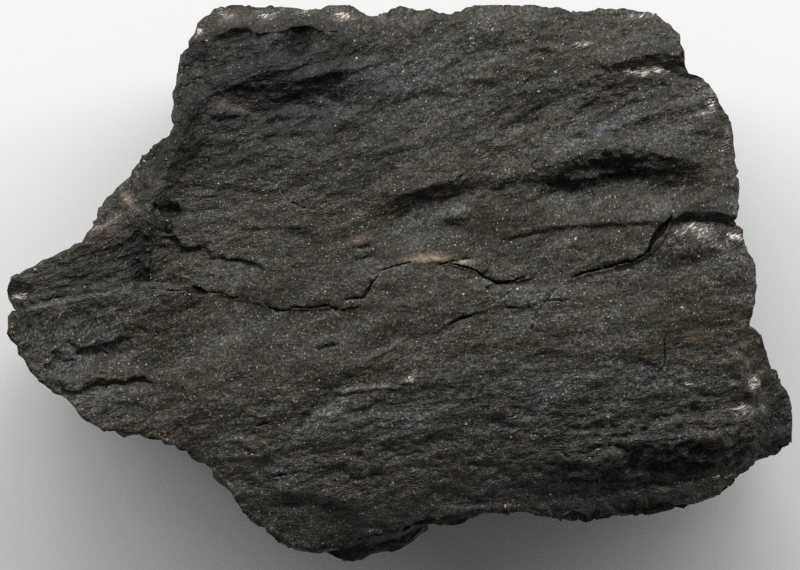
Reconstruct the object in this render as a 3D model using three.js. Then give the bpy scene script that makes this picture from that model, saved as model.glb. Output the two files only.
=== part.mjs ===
// A hand-sized block of lignite, the brown coal that splits along its bedding.
// Lengths are in millimetres. +Z is up, +X runs east along the grain of the bedding and +Y north.
// The upper face is one bedding split, broken into low ledges. The flanks show the beds edge on.
// The underside climbs in steps from the flat facet that the block rests on.
import * as THREE from "three";
import { ImprovedNoise } from "three/addons/math/ImprovedNoise.js";
import { mergeGeometries, mergeVertices } from "three/addons/utils/BufferGeometryUtils.js";

// Driving dimensions
const THICKNESS = 37; // rest facet to the level part of the upper face
const GRAIN_RISE = 8; // degrees by which the grain turns from +X towards +Y
const EDGE_LIFT = 5.5; // least height of the underside where it meets the flanks
const ARM_LIFT = 0.22; // further lift for each millimetre past LIFT_FROM from the middle
const LIFT_FROM = 38;

// Mesh of the block
const COLUMNS = 58; // cells along the grain
const ROWS = 40; // cells across it
const RELAX_BEFORE = 12; // rounds of evening out before and after the grid is fitted to the ledges
const RELAX_AFTER = 3;
const CREST_GAP = 0.04; // how far inside its crest line a ledge's brink lies
const MOST_FOOT = 0.85; // widest scarp that the grid is fitted to, against a cell
const CREST_FADE = 3; // length over which a ledge dies out at each end

// Outline of the upper face, as four edges that meet at its corners.
const NORTH_EDGE = [
  [-30.1, 39.6], [-28.4, 41.3], [-25.5, 42], [-21.1, 41.6], [-17.6, 41.9], [-14.4, 41.3],
  [-10.8, 41.4], [-8.2, 41.9], [-5.3, 40.6], [-2.4, 40.9], [1.4, 41.4], [6.8, 40.7], [10, 41.4],
  [13.5, 42.2], [18.4, 41.6], [23, 41.6], [26.6, 41], [30.4, 41.3], [34.2, 40.9], [38.8, 40.6],
  [40.8, 39.2],
];
const EAST_EDGE = [
  [40.8, 39.2], [42.5, 37.5], [42.8, 35.1], [43.7, 31.9], [46, 30.9], [48, 28.7], [49.2, 25.9],
  [49.9, 24.2], [50.4, 19.8], [51.2, 15.6], [51, 12.5], [51.3, 10.1], [50.4, 8.6], [51.9, 7.8],
  [52.4, 6.3], [53.1, 2.4], [53.8, -2.1], [52.8, -7], [54.5, -8.5], [55.4, -11.6], [57.6, -15.7],
  [58.9, -18.6], [60.1, -23],
];
const SOUTH_EDGE = [
  [-59.7, -7.8], [-58.3, -9.5], [-56.3, -13.6], [-53.5, -16.2], [-50.6, -18.1], [-48.1, -20.9],
  [-45.1, -22.5], [-40.9, -22.6], [-37.4, -23.3], [-32.9, -25.5], [-29.8, -27.6], [-26.3, -31.1],
  [-24, -34.8], [-21.1, -37.1], [-17.6, -39.3], [-14.1, -40.8], [-10.4, -40.6], [-8, -40],
  [-3.4, -38.4], [-0.1, -37.8], [3.7, -36.4], [7.9, -35.1], [11.4, -34.5], [18.2, -34.3],
  [22.2, -34.9], [25.8, -34], [30.4, -34.5], [36.5, -34], [41.9, -33.5], [46.4, -32.5],
  [51, -30.3], [54.8, -27.8], [58.2, -25.9], [60.1, -23],
];
const WEST_EDGE = [
  [-30.1, 39.6], [-31.5, 37.4], [-33, 34.3], [-33.3, 31.6], [-34.2, 27.3], [-34.1, 22.7],
  [-36.4, 21.2], [-38.5, 19.2], [-41.3, 14.9], [-44, 12.2], [-45.8, 9], [-48.6, 5.6], [-51.9, 4],
  [-55.3, 2.3], [-58.9, 0.2], [-60, -1.4], [-58.3, -4.4], [-59.4, -5.5], [-59.7, -7.8],
];

// Where the face bends down: past a line through `at`, towards a compass bearing from +X in degrees.
const BENDS = [
  { at: [0, 38.4], toward: 92, fall: 0.5, soft: 0.8 }, // north brink
  { at: [10, -14], toward: -80, fall: 0.42, soft: 3.5 }, // the south-east third
  { at: [36, -25], toward: -77, fall: 0.28, soft: 1.5 }, // south-east brow
  { at: [54, -12], toward: -12, fall: 0.9, soft: 0.8 }, // bevel above the south-east corner
];

// Ledges where a lamina of the bedding ends. The high side lies to the left of the crest line.
// `width` is how far out the scarp's foot lies and `reach` how far the ledge takes to level out.
// `start` is the share of the drop that a ledge has where its line begins, where that isn't all.
const LEDGES = [
  {
    // lip along the north brink
    drop: 0.7, width: 0.7, reach: 3.5,
    crest: [[-28.3, 38.4], [-23, 38.7], [-16.9, 38.8], [-12, 38.9], [-7.7, 38.4]],
  },
  {
    // head of the north-west hollow
    drop: 3, width: 5.2, reach: 9,
    crest: [[-28.8, 26], [-26.3, 29.6], [-22.2, 31.4], [-16.1, 32.6], [-10, 33.2], [-6, 33]],
  },
  {
    // head of the lens-shaped hollow in the north-east
    drop: 3.4, width: 4.4, reach: 7,
    crest: [
      [19.5, 16.6], [22, 17.4], [27.1, 19.4], [30.4, 20.3], [35.8, 20.4], [40.8, 18.9], [47, 18],
    ],
  },
  {
    // notch below the north-east corner
    drop: 2.2, width: 2.4, reach: 5,
    crest: [[29, 32], [31.2, 32.6], [35.8, 34.2], [39.6, 34.8], [43.7, 33.9], [48, 33]],
  },
  {
    // cleft that runs out at the east edge
    drop: 3, start: 0.08, width: 0.9, reach: 9,
    crest: [
      [24, 0], [30.4, 2], [36.5, 3.7], [38.4, 5.9], [40.3, 8.8], [43.4, 10.4], [47.5, 10.7],
      [51.3, 9.8], [58, 9],
    ],
  },
  {
    // thin lamina above the cleft
    drop: 0.45, width: 0.5, reach: 4,
    crest: [[14, 6], [19, 7.6], [22, 8.2], [26.6, 8.5], [30.4, 8.8], [36.5, 9.2], [41, 9.4]],
  },
  {
    // brink of the south-west plate above the lower arm
    drop: 2.6, width: 0.7, reach: 9,
    crest: [
      [-29, -1.9], [-33, -1.3], [-38.2, -0.8], [-42.8, -1.1], [-47.4, -1.4], [-51.9, -2],
      [-55.7, -2.6], [-58.9, -4], [-66, -6],
    ],
  },
  {
    // step between the middle plate and the arm
    drop: 1.6, width: 0.8, reach: 6,
    crest: [[-37.4, 13], [-38.2, 10.2], [-39.3, 6.4], [-38.8, 3], [-38.8, -1.6]],
  },
  {
    // west shoulder of the face
    drop: 4.6, width: 6, reach: 3,
    crest: [[-31.6, 30], [-32.6, 25], [-33.6, 21], [-36, 16], [-38, 11], [-39.4, 6]],
  },
  {
    // small block by the shoulder
    drop: 0.9, width: 0.6, reach: 3,
    crest: [[-36, 9], [-34.8, 7.5], [-33.2, 5.3], [-31.2, 5.5], [-28, 6]],
  },
  {
    // arched lamina on the middle plate
    drop: 0.7, width: 0.5, reach: 3,
    crest: [[-30.5, 3.6], [-26.8, 4.1], [-24, 3.8], [-22, 3], [-19.5, 1.4]],
  },
  {
    // western crack
    drop: 0.3, width: 0.4, reach: 5,
    crest: [
      [-33, -1.2], [-29.4, -1.7], [-27.2, -1.7], [-25.8, -2.4], [-21.1, -3], [-19.9, -4],
      [-17.2, -4.1], [-10.8, -3.8], [-5, -4],
    ],
  },
  {
    // hooked crack in the middle
    drop: 0.3, width: 0.4, reach: 3,
    crest: [[-8.5, -2.8], [-5.7, -2.3], [-4.7, -0.6], [-3.7, 0.8], [-2.4, 1.8], [0.5, 2.8]],
  },
  {
    // crack below the pale vein
    drop: 0.6, start: 0.3, width: 0.4, reach: 4,
    crest: [
      [-1, 2.4], [1.4, 3], [6.8, 3], [9.1, 2.4], [11.4, 1.7], [13.6, 0.3], [18.2, 0.2], [21, 1.2],
    ],
  },
  {
    // slanting break in the middle of the face
    drop: 0.35, width: 0.5, reach: 4,
    crest: [[-0.1, -9], [7.1, -6.6], [10.7, -5], [15.2, -3.4], [17.6, -1], [19, 1]],
  },
  {
    // south-west run of the slanting break, only a low fold
    drop: 0.4, width: 0.8, reach: 4,
    crest: [[-14, -16.8], [-9.2, -14.4], [-5.4, -12.2], [-2.2, -10.6], [1.8, -8.6]],
  },
  {
    // south edge of the smooth middle plate
    drop: 0.45, width: 0.7, reach: 4,
    crest: [
      [-27, -29.2], [-24.5, -28.4], [-21.1, -26.4], [-16.9, -23.8], [-15.6, -20.3], [-12.6, -18.3],
      [-10, -16.8], [-4.3, -15.9], [1.9, -15.4], [8, -14.6],
    ],
  },
  {
    // upper ledge of the south-west plate
    drop: 1.1, width: 0.7, reach: 4,
    crest: [
      [-58, -14.6], [-53.1, -11.3], [-49.6, -10.2], [-45.8, -9.8], [-44, -9], [-40.6, -8],
    ],
  },
  {
    // lower ledge of the south-west plate
    drop: 1, width: 0.7, reach: 4,
    crest: [
      [-55, -17.4], [-51.9, -16.3], [-48.1, -15.4], [-45.1, -14.9], [-42, -14.6], [-36, -13.6],
    ],
  },
  {
    // ledge near the south tip
    drop: 0.7, width: 1.2, reach: 4,
    crest: [
      [-24.5, -34], [-22.2, -33.4], [-17.6, -32.8], [-13.8, -32.2], [-10, -33.7], [-4.5, -35.8],
    ],
  },
  {
    // brow of the south-east corner
    drop: 2.4, width: 2.8, reach: 5,
    crest: [
      [25, -29.6], [28.9, -28.7], [36.5, -25.9], [44.1, -25.3], [50.2, -24.1], [57.9, -22.3],
      [66, -20.5],
    ],
  },
  {
    // ridge in the middle of the north half
    drop: 2, width: 2.6, reach: 6,
    crest: [[-3.6, 11.2], [-0.1, 13.2], [3.7, 14.6], [7.4, 15.4], [11.6, 15.6]],
  },
  {
    // low ledge between the ridge and the lens-shaped hollow
    drop: 0.8, width: 1.6, reach: 4,
    crest: [[13.4, 15.6], [16, 16], [19.7, 16.6], [24.3, 16.2], [29, 14.9], [32, 14]],
  },
  {
    // slanting fold towards the north-east corner
    drop: 0.5, width: 1.6, reach: 6,
    crest: [[22, 22], [26, 25.4], [31.5, 29], [36, 30.6], [41, 31.4]],
  },
  {
    // bevelled facet at the east end
    drop: 1.3, width: 4, reach: 3,
    crest: [[54.4, -21.5], [53.3, -18], [51.6, -13], [50, -8.4], [49.4, -6]],
  },
  {
    // low fold on the crown of the north half
    drop: 0.8, width: 1.6, reach: 6,
    crest: [[-14, 20.6], [-9, 24], [-4, 27.5], [2, 29.6], [9, 30.2]],
  },
];

// Swells and pits of the face: centre, half-length along the grain, half-width across it, height.
const SWELLS = [
  [46.5, 6.6, 5.5, 2, 0.8], // shell-shaped break beside the cleft
  [-58.4, -2, 1.8, 1.4, 1.2], // glassy knob on the tip of the arm
  [-35.9, 11, 2.2, 1.1, -1], // pit on the west shoulder
  [0, 24, 22, 5, 0.8], // broad crown of the north half
  [-10, -24, 14, 4, 0.7], // low back above the south tip
  [22, 26, 12, 2.4, -0.6], // trough below the north-east brink
];

// Rings down the flanks: share of the flank's height, and how far back it stands from the outline.
const BEDS = [
  [0.09, 0.1],
  [0.12, 1.1],
  [0.36, 1.9],
  [0.4, 0.6],
  [0.66, 2],
  [0.7, 3.8],
  [1, 5.2],
];
const BED_JAG = 1.9; // how far the beds wander in and out
const CHIP_STEPS = 3; // chipped faces to each length of that

// Places where lower beds stand out past the upper face: centre, half-length, how far, first ring.
const SHELVES = [
  [24, -34, 27, 3, 2],
  [-4, -38, 8, 4.4, 3],
];

// Rings of the underside: share of the way in to the rest facet, share of the edge's height.
const UNDERSIDE = [
  [0.22, 0.8],
  [0.34, 0.46],
  [0.7, 0.34],
  [0.86, 0],
];

// Corners of the rest facet, anticlockwise from above.
const REST_FACET = [
  [-31, -3], [-25, -14], [-9, -22], [12, -20], [31, -17], [38, -3], [31, 17], [9, 25], [-16, 22],
  [-27, 13],
];

const noise = new ImprovedNoise();
const grainX = Math.cos(THREE.MathUtils.degToRad(GRAIN_RISE));
const grainY = Math.sin(THREE.MathUtils.degToRad(GRAIN_RISE));

// Noise drawn out along the grain, from about -1 to 1.
function grainNoise(x, y, long, wide, layer) {
  const along = x * grainX + y * grainY;
  const across = y * grainX - x * grainY;
  return noise.noise(along / long, across / wide, layer);
}

// Where (x, y) lies beside a line: signed distance, left positive, and the way along it.
function placeBeside(line, x, y) {
  let nearest = Infinity;
  let beside = 0;
  let along = 0;
  let run = 0;
  for (let i = 1; i < line.length; i++) {
    const [ax, ay] = line[i - 1];
    const dx = line[i][0] - ax;
    const dy = line[i][1] - ay;
    const length = Math.hypot(dx, dy);
    const share = THREE.MathUtils.clamp(((x - ax) * dx + (y - ay) * dy) / length ** 2, 0, 1);
    const gap = Math.hypot(x - ax - share * dx, y - ay - share * dy);
    if (gap < nearest) {
      nearest = gap;
      beside = dx * (y - ay) - dy * (x - ax) < 0 ? -gap : gap;
      along = run + share * length;
    }
    run += length;
  }
  return { beside, along, length: run };
}

function bendDrop({ at, toward, fall, soft }, x, y) {
  const heading = THREE.MathUtils.degToRad(toward);
  const past = (x - at[0]) * Math.cos(heading) + (y - at[1]) * Math.sin(heading);
  return fall * soft * Math.log1p(Math.exp(past / soft));
}

// A ledge lifts its high side towards the crest, and sinks its low side towards the foot.
function ledgeRise({ drop, start = 1, width, reach, crest }, x, y) {
  const { beside, along, length } = placeBeside(crest, x, y);
  const fade = Math.min(1, along / CREST_FADE, (length - along) / CREST_FADE);
  const half = 0.5 * drop * fade * THREE.MathUtils.lerp(start, 1, along / length);
  if (beside >= 0) return half * Math.max(0, 1 - beside / reach);
  if (beside > -width) return half * (1 + (2 * beside) / width);
  return -half * Math.max(0, 1 + (beside + width) / reach);
}

function swellRise([cx, cy, long, wide, height], x, y) {
  const along = ((x - cx) * grainX + (y - cy) * grainY) / long;
  const across = ((y - cy) * grainX - (x - cx) * grainY) / wide;
  return height * Math.exp(-along * along - across * across);
}

function faceHeight(x, y) {
  let z = THICKNESS;
  for (const bend of BENDS) z -= bendDrop(bend, x, y);
  for (const ledge of LEDGES) z += ledgeRise(ledge, x, y);
  for (const swell of SWELLS) z += swellRise(swell, x, y);
  z += 0.9 * grainNoise(x, y, 30, 10, 0.5);
  z += 0.5 * grainNoise(x, y, 11, 3.7, 4.5);
  return z;
}

// Points along an edge, evenly spread but with one on each corner of the edge.
function spread(edge, cells) {
  const path = new THREE.Path(edge.map(([x, y]) => new THREE.Vector2(x, y)));
  const lengths = path.getCurveLengths();
  const shares = Array.from({ length: cells + 1 }, (_, i) => i / cells);
  for (const length of lengths.slice(0, -1)) {
    const share = length / lengths.at(-1);
    shares[Math.round(share * cells)] = share;
  }
  shares[0] = 0;
  shares[cells] = 1;
  return shares.map((share) => path.getPoint(share));
}

// Grid of plan points that fills the outline, as a patch blended from its four edges.
function fillOutline(north, south, west, east) {
  const grid = [];
  for (let row = 0; row <= ROWS; row++) {
    const v = row / ROWS;
    grid.push([]);
    for (let column = 0; column <= COLUMNS; column++) {
      const u = column / COLUMNS;
      const blend = (axis) =>
        (1 - v) * north[column][axis] + v * south[column][axis] +
        (1 - u) * west[row][axis] + u * east[row][axis] -
        (1 - v) * ((1 - u) * north[0][axis] + u * north[COLUMNS][axis]) -
        v * ((1 - u) * south[0][axis] + u * south[COLUMNS][axis]);
      grid[row].push({ x: blend("x"), y: blend("y"), held: false });
    }
  }
  for (const line of [grid[0], grid[ROWS], grid.map((row) => row[0]), grid.map((row) => row[COLUMNS])])
    for (const point of line) point.held = true;
  return grid;
}

// Sine of the angle between two directions.
function sineBetween(ux, uy, wx, wy) {
  return Math.abs(ux * wy - uy * wx) / (Math.hypot(ux, uy) * Math.hypot(wx, wy));
}

// Where the grid line from a to b crosses a crest, and which of the two points lies above it.
// `aside` is the neighbour of a on the grid's other set of lines, which has to cross less squarely.
function crossingOf(a, b, aside, crest) {
  const ux = b.x - a.x;
  const uy = b.y - a.y;
  for (let i = 1; i < crest.length; i++) {
    const [cx, cy] = crest[i - 1];
    const wx = crest[i][0] - cx;
    const wy = crest[i][1] - cy;
    const turn = ux * wy - uy * wx;
    const t = ((cx - a.x) * wy - (cy - a.y) * wx) / turn;
    const s = ((cx - a.x) * uy - (cy - a.y) * ux) / turn;
    if (t < 0 || t > 1 || s < 0 || s > 1) continue;
    const sine = sineBetween(ux, uy, wx, wy);
    if (sine < sineBetween(aside.x - a.x, aside.y - a.y, wx, wy)) continue;
    const [high, low] = turn < 0 ? [b, a] : [a, b];
    return { x: a.x + t * ux, y: a.y + t * uy, high, low, sine };
  }
  return null;
}

// Moves the two grid points on either side of a crest to its brink and to its foot.
function pullToCrest({ x, y, high, low, sine }, width) {
  const cell = Math.hypot(high.x - low.x, high.y - low.y);
  const upX = (high.x - low.x) / cell;
  const upY = (high.y - low.y) / cell;
  const foot = width / sine;
  if (!high.held) {
    high.x = x + upX * CREST_GAP;
    high.y = y + upY * CREST_GAP;
    high.held = true;
  }
  if (!low.held && foot < MOST_FOOT * cell) {
    low.x = x - upX * foot;
    low.y = y - upY * foot;
    low.held = true;
  }
}

function fitToLedge(grid, { crest, width }) {
  for (let row = 0; row < ROWS; row++) {
    for (let column = 0; column < COLUMNS; column++) {
      const point = grid[row][column];
      const below = grid[row + 1][column];
      const right = grid[row][column + 1];
      const met = crossingOf(point, below, right, crest) ?? crossingOf(point, right, below, crest);
      if (met) pullToCrest(met, width);
    }
  }
}

// Evens out the grid between the points that are held.
function relax(grid, rounds) {
  for (let round = 0; round < rounds; round++) {
    for (let row = 1; row < ROWS; row++) {
      for (let column = 1; column < COLUMNS; column++) {
        const point = grid[row][column];
        if (point.held) continue;
        const around = [
          grid[row - 1][column], grid[row + 1][column], grid[row][column - 1], grid[row][column + 1],
        ];
        point.x = around.reduce((sum, p) => sum + p.x, 0) / around.length;
        point.y = around.reduce((sum, p) => sum + p.y, 0) / around.length;
      }
    }
  }
}

// A sheet of cells whose corner points come from place(row, column).
function sheet(columns, rows, place) {
  const geometry = new THREE.PlaneGeometry(1, 1, columns, rows);
  const position = geometry.attributes.position;
  for (let row = 0; row <= rows; row++)
    for (let column = 0; column <= columns; column++)
      position.setXYZ(row * (columns + 1) + column, ...place(row, column));
  return geometry;
}

// Splits each cell of a sheet along the diagonal whose ends differ less in height.
function splitAlongLevel(geometry) {
  const { index } = geometry;
  const { position } = geometry.attributes;
  const height = (corner) => position.getZ(corner);
  for (let i = 0; i < index.count; i += 6) {
    const [a, b, d, , c] = index.array.slice(i, i + 6);
    const flatter = Math.abs(height(a) - height(c)) < Math.abs(height(b) - height(d));
    if (flatter) index.set([a, b, c, a, c, d], i);
  }
  return geometry;
}

// Rim of the grid, anticlockwise from its north-west corner.
function rimOf(grid) {
  const rim = [];
  for (let row = 0; row < ROWS; row++) rim.push(grid[row][0]);
  for (let column = 0; column < COLUMNS; column++) rim.push(grid[ROWS][column]);
  for (let row = ROWS; row > 0; row--) rim.push(grid[row][COLUMNS]);
  for (let column = COLUMNS; column > 0; column--) rim.push(grid[0][column]);
  return rim.map(({ x, y }) => ({ x, y, z: faceHeight(x, y) }));
}

function edgeLift({ x, y }) {
  const out = Math.max(0, Math.hypot(x, y) - LIFT_FROM);
  return EDGE_LIFT + ARM_LIFT * out + 2.2 * noise.noise(x / 17, y / 17, 7.5) + 1.2;
}

// How far the lower beds stand out past the outline at this place and ring.
function shelfAt(x, y, ring) {
  let out = 0;
  for (const [cx, cy, half, most, first] of SHELVES) {
    const gap = Math.hypot(x - cx, y - cy) / half;
    if (ring >= first && gap < 1) out += most * (1 - gap * gap);
  }
  return out;
}

// A point of the flanks: ring 0 is the rim of the face, and the last ring the edge of the underside.
function flankPoint({ x, y, z }, ring) {
  if (ring === 0) return [x, y, z];
  const [down, back] = BEDS[ring - 1];
  const reach = Math.hypot(x, y);
  const bed = Math.floor(ring / 2);
  const chips = 2 * CHIP_STEPS * noise.noise(x / 13, y / 13, 3.3 * bed);
  const crumbs = 0.5 * noise.noise(x / 3, y / 3, 5.1 * ring);
  const jag = (BED_JAG / CHIP_STEPS) * Math.round(chips) + crumbs;
  const inset = Math.max(0, back + jag * Math.min(1, back)) - shelfAt(x, y, ring);
  const shrink = 1 - inset / reach;
  const wander = ring === BEDS.length ? 0 : 0.05 * noise.noise(x / 14, y / 14, 9.7 * bed);
  const foot = edgeLift({ x, y });
  return [x * shrink, y * shrink, z + (foot - z) * (down + wander)];
}

// Share of the way out to (x, y) at which the edge of the rest facet is met.
function facetShare(x, y) {
  let share = 0;
  REST_FACET.forEach(([ax, ay], i) => {
    const [bx, by] = REST_FACET[(i + 1) % REST_FACET.length];
    const turn = x * (by - ay) - y * (bx - ax);
    const along = (ax * y - ay * x) / turn;
    const out = (ax * (by - ay) - ay * (bx - ax)) / turn;
    if (along >= 0 && along <= 1 && out > 0) share = out;
  });
  return share;
}

// A point of the underside, from the foot of the flanks in to the rest facet.
function undersidePoint(corner, ring) {
  const [x, y, z] = flankPoint(corner, BEDS.length);
  const [inward, lift] = ring < UNDERSIDE.length ? UNDERSIDE[ring] : [1, 0];
  const step = Math.floor(ring / 2);
  const wander = 0.3 * Math.sin(Math.PI * inward) * noise.noise(x / 21, y / 21, 6.1 * step);
  const slant = lift * (1 + 0.5 * noise.noise(x / 26, y / 26, 1.3 + step));
  const shrink = 1 + (facetShare(x, y) - 1) * (inward + wander);
  return [x * shrink, y * shrink, z * slant];
}

// The flat facet that the block rests on, facing down.
function restFacet(points) {
  const shape = new THREE.Shape(points.map(([x, y]) => new THREE.Vector2(x, -y)));
  return new THREE.ShapeGeometry(shape).rotateX(Math.PI);
}

function ligniteBlock() {
  const north = spread(NORTH_EDGE, COLUMNS);
  const south = spread(SOUTH_EDGE, COLUMNS);
  const grid = fillOutline(north, south, spread(WEST_EDGE, ROWS), spread(EAST_EDGE, ROWS));
  relax(grid, RELAX_BEFORE);
  for (const ledge of LEDGES) fitToLedge(grid, ledge);
  relax(grid, RELAX_AFTER);
  const face = splitAlongLevel(sheet(COLUMNS, ROWS, (row, column) => {
    const { x, y } = grid[row][column];
    return [x, y, faceHeight(x, y)];
  }));
  const rim = rimOf(grid);
  const rings = BEDS.length + UNDERSIDE.length;
  const skin = sheet(rim.length, rings, (ring, column) => {
    const corner = rim[column % rim.length];
    const inner = ring - BEDS.length - 1;
    return inner < 0 ? flankPoint(corner, ring) : undersidePoint(corner, inner);
  });
  const facet = restFacet(rim.map((corner) => undersidePoint(corner, UNDERSIDE.length - 1)));
  for (const piece of [face, skin, facet]) {
    piece.deleteAttribute("normal");
    piece.deleteAttribute("uv");
  }
  const block = mergeVertices(mergeGeometries([face, skin, facet]), 1e-3);
  block.computeBoundingBox();
  const middle = block.boundingBox.getCenter(new THREE.Vector3());
  block.translate(-middle.x, -middle.y, 0);
  block.computeVertexNormals();
  return block;
}

const coal = new THREE.MeshStandardMaterial({ color: 0x3a3733, roughness: 0.72, metalness: 0 });
const block = new THREE.Mesh(ligniteBlock(), coal);
block.name = "lignite_block";

const group = new THREE.Group();
group.add(block);

export default group;
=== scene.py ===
"""Lignite block: a hand specimen of brown coal with a split bedding face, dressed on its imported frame.

Run as a script it builds the block and its stage. The layout is that of a Blender add-on.
Lengths in the tables are millimetres in plan from FACE_ORIGIN, +X to the east and +Y to the north.
"""

import math
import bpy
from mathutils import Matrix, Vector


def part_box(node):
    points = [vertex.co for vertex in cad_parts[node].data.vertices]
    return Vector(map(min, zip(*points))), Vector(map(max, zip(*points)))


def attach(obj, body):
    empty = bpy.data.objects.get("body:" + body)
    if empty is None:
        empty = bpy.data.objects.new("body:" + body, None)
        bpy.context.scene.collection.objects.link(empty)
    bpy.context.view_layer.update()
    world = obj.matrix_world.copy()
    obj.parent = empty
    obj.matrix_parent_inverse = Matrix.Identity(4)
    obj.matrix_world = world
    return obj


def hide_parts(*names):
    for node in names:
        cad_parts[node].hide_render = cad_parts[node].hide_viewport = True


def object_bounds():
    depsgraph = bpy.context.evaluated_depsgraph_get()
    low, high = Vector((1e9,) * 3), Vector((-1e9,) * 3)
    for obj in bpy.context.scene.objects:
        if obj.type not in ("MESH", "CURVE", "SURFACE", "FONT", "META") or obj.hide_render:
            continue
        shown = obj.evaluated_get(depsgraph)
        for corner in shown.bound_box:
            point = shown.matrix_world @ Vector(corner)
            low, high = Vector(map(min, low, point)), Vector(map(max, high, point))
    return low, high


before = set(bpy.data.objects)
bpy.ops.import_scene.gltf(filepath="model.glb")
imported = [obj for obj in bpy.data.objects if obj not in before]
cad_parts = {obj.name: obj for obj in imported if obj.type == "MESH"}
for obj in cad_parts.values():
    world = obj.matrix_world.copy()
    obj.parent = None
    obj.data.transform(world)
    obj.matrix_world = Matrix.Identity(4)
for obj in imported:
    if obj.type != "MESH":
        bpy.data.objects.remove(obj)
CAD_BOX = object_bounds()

from types import SimpleNamespace

import bmesh
import bpy
import numpy as np
from bpy.props import FloatProperty, FloatVectorProperty, IntProperty, PointerProperty
from mathutils import Vector, noise

bl_info = {
    "name": "Lignite Block",
    "version": (1, 0, 0),
    "blender": (4, 5, 0),
    "location": "3D View > Sidebar > Lignite",
    "description": "Builds a ledged, cracked block of lignite and the stage that it lies on",
    "category": "Object",
}

MM = 0.001
NODE = "lignite_block"
BODY = "root"

# Noises with different seeds are read this many cells apart.
SEED_SPACING = 17.31

# The west tip of the outline lies 60 mm west of the tables' origin, and its north brink 42.2 mm north.
LOW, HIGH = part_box(NODE)
FACE_ORIGIN = Vector((LOW.x + 60.0 * MM, HIGH.y - 42.2 * MM, 0.0))

# The split face lies at this share of the block's height on average.
FACE_LEVEL = 0.87

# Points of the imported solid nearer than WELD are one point. Two of its triangles make a four-sided cell
# when the fold between them is below FOLD and its corners are off square by less than SKEW.
WELD = 0.002 * MM
FOLD = math.radians(20)
SKEW = math.radians(70)

# Upward part of a normal: above UPPER it belongs to the split face, above LEVEL it is nearly level, and
# below STEEP it belongs to the flanks.
UPPER = 0.45
LEVEL = 0.8
STEEP = 0.7

# Strengths above which a place counts as lying on the split face, in the calm zones or in the kept zones.
FACE_ENOUGH = 0.3
CALM_ENOUGH = 0.3
KEPT_ENOUGH = 0.2

# Heights between which the flanks are smoothed, and those between which their drift grows downwards.
EASED_FLANK = (4 * MM, 0.55 * HIGH.z)
DRIFT_GROWS = (0.65 * HIGH.z, 0.65 * HIGH.z - 7 * MM)

# Cracks open where a normal's upward part is above CRACKED, for a cell CRACKED_CELL. Points nearer to a
# crack than CRACK_PULL move onto it, the cells beside it are cut finer as far as CRACK_MARGIN past its
# edge, and it strays from its line by up to CRACK_SWAY.
CRACKED = 0.2
CRACKED_CELL = 0.3
CRACK_PULL = 0.09 * MM
CRACK_MARGIN = 0.12 * MM
CRACK_SWAY = 0.3 * MM

# Least and most half-length and half-width of the chips in millimetres, the spread of their turns in
# radians, and the width of their broken edges.
CHIP_HALF_LENGTH = (0.9, 3.4)
CHIP_HALF_WIDTH = (0.5, 1.5)
CHIP_TURN = 0.3
CHIP_EDGE = 0.3 * MM

# How far from its line a lamina's broken edge is felt.
LAMINA_REACH = 2.4 * MM

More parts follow.
